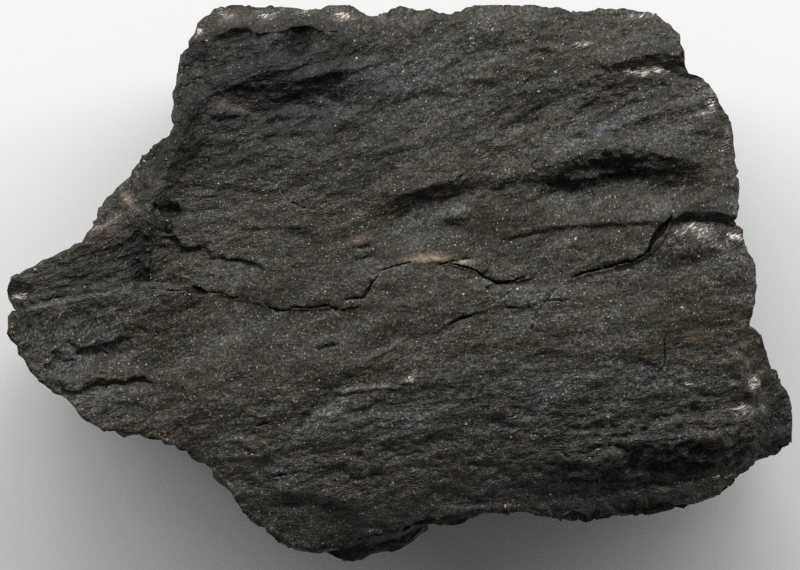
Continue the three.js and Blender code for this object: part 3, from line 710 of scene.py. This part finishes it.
def along_grain(points, rise):
    """Points moved so that the grain, which climbs on the arm and in the north, runs along +X."""
    x, y = (points[:, :2] - np.array(FACE_ORIGIN[:2])).T / MM
    climb = math.tan(rise) * x
    # north of 10 mm the grain sweeps up to the east
    climb += 7 * np.tanh(x / 32) / (1 + np.exp((10 - y) / 3))
    # on the arm, and on the plate south of it, it climbs from the west tip
    climb += 0.5 * np.minimum(x + 36, 0) / (1 + np.exp((-1 - y) / 1.5))
    climb += 0.15 * np.minimum(x + 25, 0) / (1 + np.exp((y + 6) / 2))
    bent = points.copy()
    bent[:, 1] -= climb * MM
    return bent


def coordinates(mesh, normals=False):
    """Positions or normals of a mesh's points, as rows."""
    flat = np.empty(len(mesh.vertices) * 3)
    source, name = (mesh.vertex_normals, "vector") if normals else (mesh.vertices, "co")
    source.foreach_get(name, flat)
    return flat.reshape(-1, 3)


def put_in_scene(name, data):
    """A new object in the scene."""
    thing = bpy.data.objects.new(name, data)
    bpy.context.collection.objects.link(thing)
    return thing


def packed_copy(shape):
    """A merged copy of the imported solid, in four-sided cells with its sharp edges creased."""
    bm = bmesh.new()
    bm.from_mesh(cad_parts[NODE].data)
    bmesh.ops.remove_doubles(bm, verts=bm.verts, dist=WELD)
    bmesh.ops.join_triangles(
        bm, faces=bm.faces, angle_face_threshold=FOLD, angle_shape_threshold=SKEW
    )
    crease = bm.edges.layers.float.new("crease_edge")
    for edge in bm.edges:
        if len(edge.link_faces) == 2 and edge.calc_face_angle() > shape.crease_angle:
            edge[crease] = 1.0
    mesh = bpy.data.meshes.new("lignite")
    bm.to_mesh(mesh)
    bm.free()
    return put_in_scene("lignite", mesh)


def smooth_cells(piece):
    """Subdivides the piece once and keeps the result as its mesh."""
    cells = piece.modifiers.new("Smooth cells", "SUBSURF")
    cells.levels = cells.render_levels = 1
    bpy.context.view_layer.update()
    graph = bpy.context.evaluated_depsgraph_get()
    mesh = bpy.data.meshes.new_from_object(piece.evaluated_get(graph))
    piece.modifiers.clear()
    coarse = piece.data
    piece.data = mesh
    bpy.data.meshes.remove(coarse)


def edges_of(bm, faces):
    """The edges of some faces, in the mesh's own order."""
    chosen = {edge for face in faces for edge in face.edges}
    return [edge for edge in bm.edges if edge in chosen]


def cut_cells(bm):
    """Cuts the cells of the split face in two each way where it is calm, and in three elsewhere."""
    upper = [f for f in bm.faces if f.normal.z > UPPER]
    centres = np.array([f.calc_center_median()[:2] for f in upper])
    calm = zones(centres, CALM_ZONES) > CALM_ENOUGH
    fine = edges_of(bm, [f for f, plain in zip(upper, calm) if not plain])
    finer = set(fine)
    coarse = [e for e in edges_of(bm, upper) if e not in finer]
    bmesh.ops.subdivide_edges(bm, edges=coarse, cuts=1, use_grid_fill=True)
    bmesh.ops.subdivide_edges(bm, edges=fine, cuts=2, use_grid_fill=True)


def ease_flats(bm):
    """Smooths the height of the nearly level parts of the face, where it bends least."""
    bend = 0.2
    flat = [
        v for v in bm.verts
        if v.normal.z > LEVEL and all(v.normal.angle(f.normal) < bend for f in v.link_faces)
    ]
    for _ in range(2):
        bmesh.ops.smooth_vert(
            bm, verts=flat, factor=0.5, use_axis_x=False, use_axis_y=False, use_axis_z=True
        )


def ease_flanks(bm):
    """Smooths the lower flanks in plan, so that the notches of the outline die out on the way down."""
    flank = [
        v for v in bm.verts
        if EASED_FLANK[0] < v.co.z < EASED_FLANK[1] and all(abs(f.normal.z) < STEEP for f in v.link_faces)
    ]
    kept = zones(np.array([v.co[:2] for v in flank]), KEPT_ZONES) > KEPT_ENOUGH
    flank = [v for v, stays in zip(flank, kept) if not stays]
    for _ in range(5):
        bmesh.ops.smooth_vert(
            bm, verts=flank, factor=0.5, use_axis_x=True, use_axis_y=True, use_axis_z=False
        )


def cut_beside_cracks(bm):
    """Cuts the cells along the cracks once more."""
    faces = [f for f in bm.faces if f.normal.z > CRACKED_CELL]
    centres = np.array([f.calc_center_median()[:2] for f in faces])
    near = np.zeros(len(faces), bool)
    for points, half, _ in CRACKS:
        near |= beside_line(centres, points)[0] < half * MM + CRACK_MARGIN
    edges = edges_of(bm, [f for f, beside in zip(faces, near) if beside])
    bmesh.ops.subdivide_edges(bm, edges=edges, cuts=1, use_grid_fill=True)
    bmesh.ops.triangulate(bm, faces=[f for f in bm.faces if len(f.verts) > 4])


def refine(piece):
    """Gives the piece the fine cells that its relief needs."""
    bm = bmesh.new()
    bm.from_mesh(piece.data)
    cut_cells(bm)
    ease_flats(bm)
    ease_flanks(bm)
    cut_beside_cracks(bm)
    bm.to_mesh(piece.data)
    bm.free()


def chip_heights(plan, jag, rough, shape):
    """Thin chips of lamina left standing, each rising southwards to a broken edge."""
    maker = np.random.default_rng(7)
    low, high = plan.min(axis=0), plan.max(axis=0)
    height = np.zeros(len(plan))
    for _ in range(shape.chips):
        x, y = maker.uniform(low, high)
        long = maker.uniform(*CHIP_HALF_LENGTH) * MM
        wide = maker.uniform(*CHIP_HALF_WIDTH) * MM
        turn = maker.normal(0, CHIP_TURN)
        drop = shape.chip_drop * maker.uniform(0.25, 1.0)
        box = (abs(plan[:, 0] - x) < long) & (abs(plan[:, 1] - y) < wide + long * 0.35)
        spots = np.flatnonzero(box)
        out = plan[spots] - (x, y)
        along = (out[:, 0] * math.cos(turn) + out[:, 1] * math.sin(turn)) / long
        across = (out[:, 1] * math.cos(turn) - out[:, 0] * math.sin(turn)) / wide + jag[spots]
        brink = -0.8 * np.sqrt(np.clip(1 - along**2, 0, 1))
        rise = ease(across, 1, brink)
        rise *= ease((across - brink) * wide, -CHIP_EDGE, 0)
        rise *= ease(abs(along), 1, 0.6)
        height[spots] = np.maximum(height[spots], drop * rise)
    return height * rough


def terraces(height, steps):
    """Gathers a rolling height into flat treads with steep risers between them."""
    riser = 0.35
    whole = np.floor(height * steps)
    return (whole + ease(height * steps - whole, 0, riser)) / steps


def face_relief(plan, grained, rough, shape):
    """Heights to add to the split face: chips, flaky steps, broken laminae, pits and mounds."""
    jag = 0.45 * field(grained, (1.7, 0.8, 1.2), 3) + 0.2 * field(grained, (0.7, 0.5, 0.6), 4)
    heights = chip_heights(grained[:, :2], jag, rough, shape)
    flakes = 0.75 * field(grained, (3.8, 1.9, 2.4), 21) + 0.55 * field(grained, (1.8, 1.1, 1.2), 22)
    flakes += 0.4 * field(grained, (0.9, 0.7, 0.7), 23)
    heights += shape.hackle * rough * (terraces(flakes, 5) - 0.35)
    wander = 0.4 * field(grained, (2.5, 1.5, 2), 25)
    for line, drop, width in LAMINAE:
        gap, hand, along, _ = beside_line(plan, line)
        past = hand * gap / MM + wander
        fade = ease(np.minimum(along, 1 - along), 0, 0.25) * np.exp(-((gap / LAMINA_REACH) ** 2))
        heights += drop * MM * fade * (ease(past, -width / 2, width / 2) - 0.5)
    return heights + MM * zones(plan, PITS)


def flank_relief(points, broken, shape):
    """Heights to add to the flanks: thin beds, and small blocks and broad facets where they are broken."""
    beds = np.mod(points[:, 2] / shape.bed_pitch + 0.35 * field(points, (9, 9, 4), 11), 1.0)
    heights = shape.bed_step * (beds - 0.5) * np.clip(0.5 + field(points, (7, 7, 3), 12), 0, 1)
    blocks = field(points, (6, 6, 1.4), 13) + 0.5 * field(points, (2.2, 2.2, 0.9), 14)
    heights += shape.block_step * terraces(blocks, 3) * broken
    facets = field(points, (14, 14, 6), 15)
    return heights + shape.facet_step * terraces(facets, 6) * broken


def flank_moves(points, shape):
    """Moves in plan that make the lower flanks wander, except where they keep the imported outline."""
    low = ease(points[:, 2], *DRIFT_GROWS) * ease(zones(points[:, :2], KEPT_ZONES), 2 / 3, 0)
    return shape.flank_drift * drift_field(points, (11, 11, 5), (33, 34)) * low[:, None]


def rim_moves(points, normals, broken, shape):
    """Moves in plan that nick the rim of the face where it is broken."""
    rim = ease(np.abs(normals[:, 2] - 0.5), 0.35, 0) * (points[:, 2] > 0.5 * HIGH.z)
    nicks = 0.9 * terraces(field(points, (2.8, 2.8, 5), 28), 3) + 0.5 * field(points, (1.1, 1.1, 3), 29)
    return shape.nick * (rim * nicks * broken)[:, None] * normals[:, :2]


def open_cracks(points, moved, sway, upward):
    """Pulls the nearest points onto the cracks and sinks them. Gives the depth at each point."""
    depth = np.zeros(len(points))
    swayed = points[:, :2] + CRACK_SWAY * sway
    for line, half, deep in CRACKS:
        gap, _, along, foot = beside_line(swayed, line)
        width = half * MM * (0.4 + 0.6 * np.sin(np.pi * np.clip(along, 0.05, 0.95)))
        onto = (gap < CRACK_PULL) & upward
        moved[onto, :2] += foot[onto] - swayed[onto]
        gap[onto] = 0
        depth = np.maximum(depth, deep * MM * ease(gap / width, 1.3, 0.3))
    depth *= upward
    moved[:, 2] -= depth
    return depth


def shade(mesh, name, values):
    """Keeps a value for each point, for the material to read."""
    layer = mesh.attributes.new(name, "FLOAT", "POINT")
    layer.data.foreach_set("value", np.clip(values, 0.0, 3.0).astype(np.float32))


def mark_face(mesh, grained, plan, tilt, up, rough):
    """Keeps on the mesh what its material reads: grain, stains, painted shade, sheen and highlights, and
    how rough it is.
    """
    bent = mesh.attributes.new("grain", "FLOAT_VECTOR", "POINT")
    bent.data.foreach_set("vector", grained.astype(np.float32).ravel())
    blur = 1 + 0.5 * field(grained, (2.2, 1.1, 1.5), 31) + 0.4 * field(grained, (0.8, 0.5, 0.6), 32)
    for name, patches in PATCHES.items():
        # the dark coal and painted shade reach down onto the flanks as well
        weight = np.clip(0.15 + 3.5 * tilt, 0.0, 1.0) if name == "dusk" else up
        shade(mesh, name, weight * blur * zones(plan, patches))
    face = up > FACE_ENOUGH
    shade(mesh, "fibre", np.where(face, PLAIN_FIBRE + zones(plan, FIBRE_ZONES), FLANK_FIBRE))
    shade(mesh, "hackle", np.where(face, rough, 1.0))


def cut_relief(piece, shape):
    """Moves the points of the fine mesh into the block's relief, and marks them for its material."""
    mesh = piece.data
    points = coordinates(mesh)
    normals = coordinates(mesh, normals=True)
    plan, tilt = points[:, :2], normals[:, 2]
    grained = along_grain(points, shape.grain_rise)
    # how much a point belongs to the split face and to the flanks, and how clear it is of the floor
    up = ease(tilt, 0.1, 0.5)
    side = ease(np.abs(tilt), 0.8, 0.3)
    above = ease(points[:, 2], 0, 3 * MM)
    rough = PLAIN_ROUGH + zones(plan, ROUGH_ZONES)
    broken = 1 - blob(plan, *NOTCH)

    relief = up * face_relief(plan, grained, rough, shape) + side * flank_relief(points, broken, shape)
    relief += shape.lump * field(grained, (0.9, 0.7, 0.8), 24)
    moved = points + normals * (relief * above)[:, None]
    sway = drift_field(points, (1.6, 1.6, 2), (26, 27))
    moved[:, :2] += shape.sway * sway * above[:, None]
    moved[:, :2] += flank_moves(points, shape) * (side * above)[:, None]
    moved[:, :2] += rim_moves(points, normals, broken, shape)
    depth = open_cracks(points, moved, sway, tilt > CRACKED)
    moved = np.clip(moved, np.array(CAD_BOX[0]), np.array(CAD_BOX[1]))
    mesh.vertices.foreach_set("co", moved.ravel())
    # the crack depth also sets the painted shade inside the cracks
    shade(mesh, "crack", depth / MM)
    mark_face(mesh, grained, plan, tilt, up, rough)
    mesh.update()


class NodeDesk:
    """Adds nodes to a material and joins them up."""

    def __init__(self, material):
        material.use_nodes = True
        self.tree = material.node_tree
        self.shader = self.tree.nodes["Principled BSDF"]

    def add(self, kind, **sockets):
        """A new node with some of its sockets filled."""
        node = self.tree.nodes.new(kind)
        for name, value in sockets.items():
            self.put(node.inputs[name], value)
        return node

    def put(self, socket, value):
        """Fills a socket with another node's output, a colour or a number."""
        if isinstance(value, bpy.types.NodeSocket):
            self.tree.links.new(value, socket)
        elif socket.type == "RGBA":
            socket.default_value = (*value, 1.0)
        else:
            socket.default_value = value

    def math(self, operation, *values):
        node = self.tree.nodes.new("ShaderNodeMath")
        node.operation = operation
        for socket, value in zip(node.inputs, values):
            self.put(socket, value)
        return node.outputs[0]

    def times(self, a, b):
        return self.math("MULTIPLY", a, b)

    def plus(self, a, b):
        return self.math("ADD", a, b)

    def swing(self, value, size):
        """A value from 0 to 1 turned into one that swings around 0 by half the size."""
        return self.math("MULTIPLY_ADD", value, size, -size / 2)

    def ramp(self, value, low, high, start=0.0, end=1.0):
        """A smooth rise from the start at the low value to the end at the high one."""
        node = self.add("ShaderNodeMapRange", Value=value)
        node.interpolation_type = "SMOOTHSTEP"
        limits = {"From Min": low, "From Max": high, "To Min": start, "To Max": end}
        for name, limit in limits.items():
            node.inputs[name].default_value = limit
        return node.outputs[0]

    def mix(self, share, a, b, blend="MIX"):
        node = self.tree.nodes.new("ShaderNodeMix")
        node.data_type = "RGBA"
        node.blend_type = blend
        node.clamp_factor = True
        self.put(node.inputs[0], share)
        self.put(node.inputs[6], a)
        self.put(node.inputs[7], b)
        return node.outputs[2]

    def cells(self, turn, size):
        """Coordinates along the grain, turned from it, in cells of the three sizes in millimetres."""
        place = self.tree.nodes.new("ShaderNodeAttribute")
        place.attribute_name = "grain"
        node = self.add("ShaderNodeMapping", Vector=place.outputs["Vector"])
        node.vector_type = "TEXTURE"
        node.inputs["Rotation"].default_value = (0, 0, turn)
        node.inputs["Scale"].default_value = [side * MM for side in size]
        return node.outputs["Vector"]

    def noise(self, vector, detail, rough=0.6):
        node = self.add("ShaderNodeTexNoise", Vector=vector, Scale=1.0, Detail=detail, Roughness=rough)
        return node.outputs["Fac"]

    def steps(self, value, count, riser):
        """Gathers a value from 0 to 1 into level treads with narrow risers between them."""
        whole = self.times(value, count)
        part = self.math("FRACT", whole)
        tread = self.plus(self.math("SUBTRACT", whole, part), self.ramp(part, 0.0, riser))
        return self.times(tread, 1.0 / count)

    def layer(self, name):
        """A mark kept on the mesh."""
        node = self.tree.nodes.new("ShaderNodeAttribute")
        node.attribute_name = name
        return node.outputs["Fac"]


def add_specks(desk, colour, clear):
    """Scatters mineral specks of mixed brightness over the colour, fainter in the dark coal and painted
    shade.
    """
    for size, share, dot, tints in SPECKS:
        cells = desk.add("ShaderNodeTexVoronoi", Vector=desk.cells(0.4, (size, size, size)), Scale=1.0)
        chance = desk.add("ShaderNodeSeparateColor", Color=cells.outputs["Color"])
        chosen = desk.math("LESS_THAN", chance.outputs[0], share)
        spot = desk.ramp(cells.outputs["Distance"], dot * 0.4, dot, 1.0, 0.0)
        bright = desk.times(desk.times(spot, chosen), desk.ramp(chance.outputs[1], -0.2, 1.1))
        bright = desk.times(bright, clear)
        tint = desk.mix(desk.ramp(chance.outputs[2], 0.3, 0.5), tints[0], tints[1])
        tint = desk.mix(desk.ramp(chance.outputs[2], 0.75, 0.85), tint, tints[2])
        colour = desk.mix(bright, colour, tint)
    return colour


def coal_patterns(desk):
    """The marks kept on the mesh, and the patterns that are used more than once."""
    look = SimpleNamespace(**{name: desk.layer(name) for name in MARKS})
    look.grit = desk.noise(desk.cells(0.0, (0.38, 0.36, 0.36)), 2.0)
    look.flakes = desk.noise(desk.cells(0.0, (1.2, 1.1, 0.7)), 4.0)
    look.sweep = desk.noise(desk.cells(0.3, (11, 3, 4)), 3.0)
    look.stripes = desk.noise(desk.cells(0.0, (4, 0.45, 0.35)), 2.0)
    look.beds = desk.steps(desk.noise(desk.cells(0.0, (6, 2.4, 1.2)), 2.0, 0.55), 8.0, 0.35)
    look.glass = desk.ramp(desk.times(look.gloss, desk.ramp(look.flakes, 0.3, 0.6, 0.6, 1.3)), 0.35, 0.8)
    return look


def grain_shades(desk, look):
    """How bright each spot is: grains and laminae in powers of e, darker in the dark coal and painted
    shade.
    """
    grains = desk.add("ShaderNodeTexVoronoi", Vector=desk.cells(0.7, (0.23, 0.23, 0.23)), Scale=1.0)
    sand = desk.add("ShaderNodeSeparateColor", Color=grains.outputs["Color"]).outputs[0]
    power = desk.times(desk.swing(look.grit, 1.0), desk.plus(look.dusk, 2.4))
    for pattern, swing in ((sand, 1.9), (look.flakes, 1.9), (look.sweep, 1.6), (look.beds, 1.0)):
        power = desk.plus(power, desk.swing(pattern, swing))
    power = desk.plus(power, desk.times(desk.swing(look.stripes, 4.0), look.fibre))
    # the dark coal and painted shade lower the level here
    level = desk.math("EXPONENT", desk.math("SUBTRACT", power, look.dusk))
    return desk.add("ShaderNodeCombineColor", Red=level, Green=level, Blue=level).outputs[0]


def painted_glints(desk, look):
    """Painted highlights: bright glints painted on broken edges, with a faint painted sheen around them."""
    painted_glint = desk.noise(desk.cells(0.3, (1.1, 0.32, 0.4)), 3.0, 0.7)
    painted_glint = desk.ramp(desk.plus(painted_glint, desk.times(look.glint, 0.2)), 0.66, 0.8)
    veil = desk.times(look.glint, desk.ramp(look.flakes, 0.3, 0.65, 0.03, 0.18))
    return desk.plus(desk.times(painted_glint, desk.ramp(look.glint, 0.1, 0.3)), veil)


def coal_colour(desk, look, finish):
    """Dark coal with slaty streaks and painted sheen, tan films, specks, glassy breaks, painted highlights,
    and painted shade in hollows and cracks.
    """
    colour = desk.mix(desk.ramp(look.sweep, 0.45, 0.65, 0.0, 0.3), finish.coal, finish.slate_and_sheen)
    # slaty streaks and painted sheen
    streaks = desk.times(look.slate_and_sheen, desk.ramp(look.flakes, 0.3, 0.6, 0.35, 1.0))
    colour = desk.mix(streaks, colour, finish.slate_and_sheen)
    colour = desk.mix(1.0, colour, grain_shades(desk, look), "MULTIPLY")
    film = desk.times(look.clay, desk.ramp(look.grit, 0.35, 0.6, 0.35, 1.0))
    colour = desk.mix(film, colour, finish.clay)
    # the specks fade in the dark coal and painted shade
    colour = add_specks(desk, colour, desk.ramp(look.dusk, 0.1, 1.6, 1.0, 0.45))
    colour = desk.mix(desk.times(look.glass, 0.8), colour, finish.glass)
    # painted highlights on broken edges
    colour = desk.mix(painted_glints(desk, look), colour, finish.painted_glint)
    # painted shade inside the cracks, darkest where they are deepest
    return desk.mix(desk.ramp(look.crack, 0.1, 0.5), colour, finish.crack)


def coal_relief(desk, look):
    """Normals of the finest relief: grit, flakes and thin steps, and ripples on the glassy breaks."""
    folds = desk.steps(desk.noise(desk.cells(0.35, (6, 2, 2)), 2.0, 0.55), 7.0, 0.45)
    leaves = desk.steps(desk.noise(desk.cells(0.1, (1.9, 1.1, 0.7)), 2.0), 6.0, 0.35)
    ripple = desk.noise(desk.cells(0.35, (2.4, 0.35, 0.6)), 1.0)
    height = desk.times(desk.times(look.stripes, look.fibre), 0.4)
    shares = ((look.grit, 0.1), (look.flakes, 0.4), (look.beds, 0.7), (folds, 0.4), (leaves, 0.35))
    for pattern, share in shares:
        height = desk.plus(height, desk.times(pattern, share))
    height = desk.times(height, desk.math("MULTIPLY_ADD", look.hackle, 1.15, 0.16))
    height = desk.times(height, desk.math("MULTIPLY_ADD", look.glass, -0.7, 1.0))
    height = desk.plus(height, desk.times(ripple, look.glass))
    return desk.add("ShaderNodeBump", Height=height, Strength=1.0, Distance=1.0 * MM).outputs["Normal"]


def coal_material(finish):
    """Dull grainy coal, smoother and glassy where it broke like a shell."""
    material = bpy.data.materials.new("lignite coal")
    desk = NodeDesk(material)
    look = coal_patterns(desk)
    dull = desk.math("MULTIPLY_ADD", look.flakes, -0.3, finish.roughness + 0.15)
    sockets = {
        "Base Color": coal_colour(desk, look, finish),
        "Specular IOR Level": finish.shine,
        "Roughness": desk.math("MULTIPLY_ADD", look.glass, -0.42, dull),
        "Normal": coal_relief(desk, look),
    }
    for name, value in sockets.items():
        desk.put(desk.shader.inputs[name], value)
    return material


def lay_floor(stage):
    """A pale square floor under the block."""
    bm = bmesh.new()
    bmesh.ops.create_grid(bm, x_segments=1, y_segments=1, size=stage.floor_size / 2)
    mesh = bpy.data.meshes.new("floor")
    bm.to_mesh(mesh)
    bm.free()
    pale = bpy.data.materials.new("pale floor")
    pale.use_nodes = True
    shader = pale.node_tree.nodes["Principled BSDF"]
    shader.inputs["Base Color"].default_value = (*stage.floor_colour, 1.0)
    shader.inputs["Roughness"].default_value = 0.9
    mesh.materials.append(pale)
    floor = put_in_scene("floor", mesh)


def hang_lamp(stage):
    """A long narrow lamp, which stands in the north and leans towards the block."""
    tube = bpy.data.lights.new("long lamp", "AREA")
    tube.shape = "RECTANGLE"
    tube.size = stage.lamp_length
    tube.size_y = stage.lamp_width
    tube.energy = stage.lamp_power
    lamp = put_in_scene("long lamp", tube)
    way = Vector((0, math.cos(stage.lamp_rise), math.sin(stage.lamp_rise)))
    lamp.location = Vector((0, 0, HIGH.z)) + stage.lamp_distance * way
    lamp.rotation_euler = (stage.lamp_rise - math.pi / 2, 0, 0)


def soft_sky(stage):
    """Even white light from all sides."""
    world = bpy.data.worlds.new("soft sky")
    world.use_nodes = True
    world.node_tree.nodes["Background"].inputs["Color"].default_value = (1, 1, 1, 1)
    world.node_tree.nodes["Background"].inputs["Strength"].default_value = stage.fill
    return world


def camera_above(stage):
    """A camera that looks straight down and takes in the view width at the face."""
    data = bpy.data.cameras.new("camera")
    data.lens = stage.lens
    data.sensor_width = 36
    data.clip_end = 10
    camera = put_in_scene("camera", data)
    away = stage.view_width * data.lens / data.sensor_width
    camera.location = FACE_ORIGIN + Vector((*stage.aim, FACE_LEVEL * HIGH.z + away))
    return camera


class LIGNITE_OT_block(bpy.types.Operator):
    """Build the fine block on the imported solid"""

    bl_idname = "lignite.block"
    bl_label = "Lignite block"

    def execute(self, context):
        shape = context.scene.lignite_shape
        piece = packed_copy(shape)
        smooth_cells(piece)
        refine(piece)
        cut_relief(piece, shape)
        piece.data.materials.clear()
        piece.data.materials.append(coal_material(context.scene.lignite_finish))
        piece.data.shade_smooth()
        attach(piece, BODY)
        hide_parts(NODE)
        return {"FINISHED"}


class LIGNITE_OT_stage(bpy.types.Operator):
    """Build the pale floor, the long lamp in the north and the camera straight above"""

    bl_idname = "lignite.stage"
    bl_label = "Stage"

    def execute(self, context):
        stage = context.scene.lignite_stage
        lay_floor(stage)
        hang_lamp(stage)
        context.scene.world = soft_sky(stage)
        context.scene.camera = camera_above(stage)
        context.scene.view_settings.view_transform = "Standard"
        context.scene.cycles.use_denoising = False
        return {"FINISHED"}


class LIGNITE_PT_panel(bpy.types.Panel):
    """Sidebar panel with the block's settings and steps"""

    bl_idname = "LIGNITE_PT_panel"
    bl_label = "Lignite Block"
    bl_space_type = "VIEW_3D"
    bl_region_type = "UI"
    bl_category = "Lignite"

    def draw(self, context):
        layout = self.layout
        for group in GROUPS:
            settings = getattr(context.scene, group)
            box = layout.box()
            for name in type(settings).__annotations__:
                box.prop(settings, name)
        layout.operator(LIGNITE_OT_block.bl_idname)
        layout.operator(LIGNITE_OT_stage.bl_idname)


CLASSES = (*GROUPS.values(), LIGNITE_OT_block, LIGNITE_OT_stage, LIGNITE_PT_panel)


def register():
    for cls in CLASSES:
        bpy.utils.register_class(cls)
    for name, group in GROUPS.items():
        setattr(bpy.types.Scene, name, PointerProperty(type=group))


def unregister():
    for name in reversed(GROUPS):
        delattr(bpy.types.Scene, name)
    for cls in reversed(CLASSES):
        bpy.utils.unregister_class(cls)


def main():
    register()
    bpy.ops.lignite.block()
    bpy.ops.lignite.stage()


if __name__ == "__main__":
    main()
